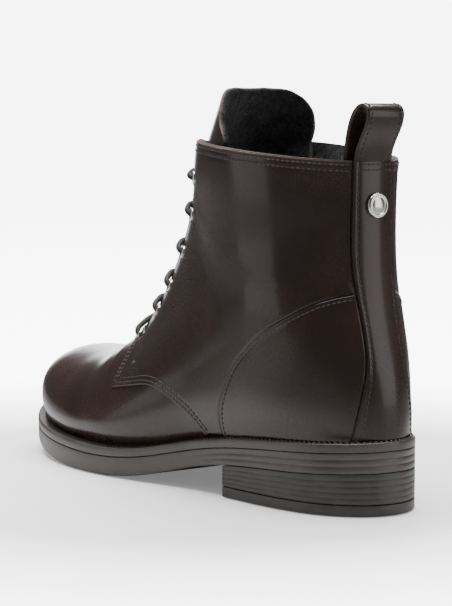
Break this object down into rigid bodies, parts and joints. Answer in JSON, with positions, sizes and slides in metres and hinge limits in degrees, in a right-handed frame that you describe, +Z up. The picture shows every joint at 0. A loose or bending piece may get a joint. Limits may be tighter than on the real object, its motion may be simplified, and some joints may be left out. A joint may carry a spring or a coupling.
{
  "type": "lace-up ankle boot",
  "caption": "Left lace-up leather ankle boot with a rounded toe, low stacked heel, back pull loop and an inner side zip; worn on the foot.",
  "frame": {"origin": "middle of the footprint on the floor", "axes": "+X to the toe, +Y to the outer side of the left foot, +Z up"},
  "size_m": [0.2598, 0.0896, 0.1777],
  "materials": {
    "leather": "glossy smooth",
    "pull_leather": "satin",
    "lining": "fleece",
    "lace_cord": "round woven cord",
    "zip_cloth": "woven",
    "zip_metal": "satin",
    "nickel": "polished nickel",
    "sole_rubber": "satin",
    "heel_rubber": "satin, fine layers"
  },
  "bodies": {
    "boot": {"back_strip": "leather", "back_stud": "nickel", "counter_lateral": "leather", "counter_medial": "leather", "eyelet_lateral_1": "nickel", "eyelet_lateral_2": "nickel", "eyelet_lateral_3": "nickel", "eyelet_lateral_4": "nickel", "eyelet_lateral_5": "nickel", "eyelet_lateral_6": "nickel", "eyelet_medial_1": "nickel", "eyelet_medial_2": "nickel", "eyelet_medial_3": "nickel", "eyelet_medial_4": "nickel", "eyelet_medial_5": "nickel", "eyelet_medial_6": "nickel", "heel_block": "heel_rubber", "heel_top_lift": "heel_rubber", "insole": "lining", "laces": "lace_cord", "outsole": "sole_rubber", "pull_loop": "leather", "quarter_lateral": "leather", "quarter_medial": "leather", "tongue": "leather", "upper": "leather", "welt": "sole_rubber", "zip_slider": "nickel", "zip_tape": "zip_cloth", "zip_teeth": "zip_metal"},
    "pull": {"zip_pull": "pull_leather"}
  },
  "joints": [
    {"name": "zip_pull_hinge", "type": "hinge", "parent": "boot", "child": "pull", "pos_m": [-0.08824, -0.03615, 0.1447], "axis": [-0.937, 0.3249, -0.1285], "range_deg": [0, 120]}
  ]
}
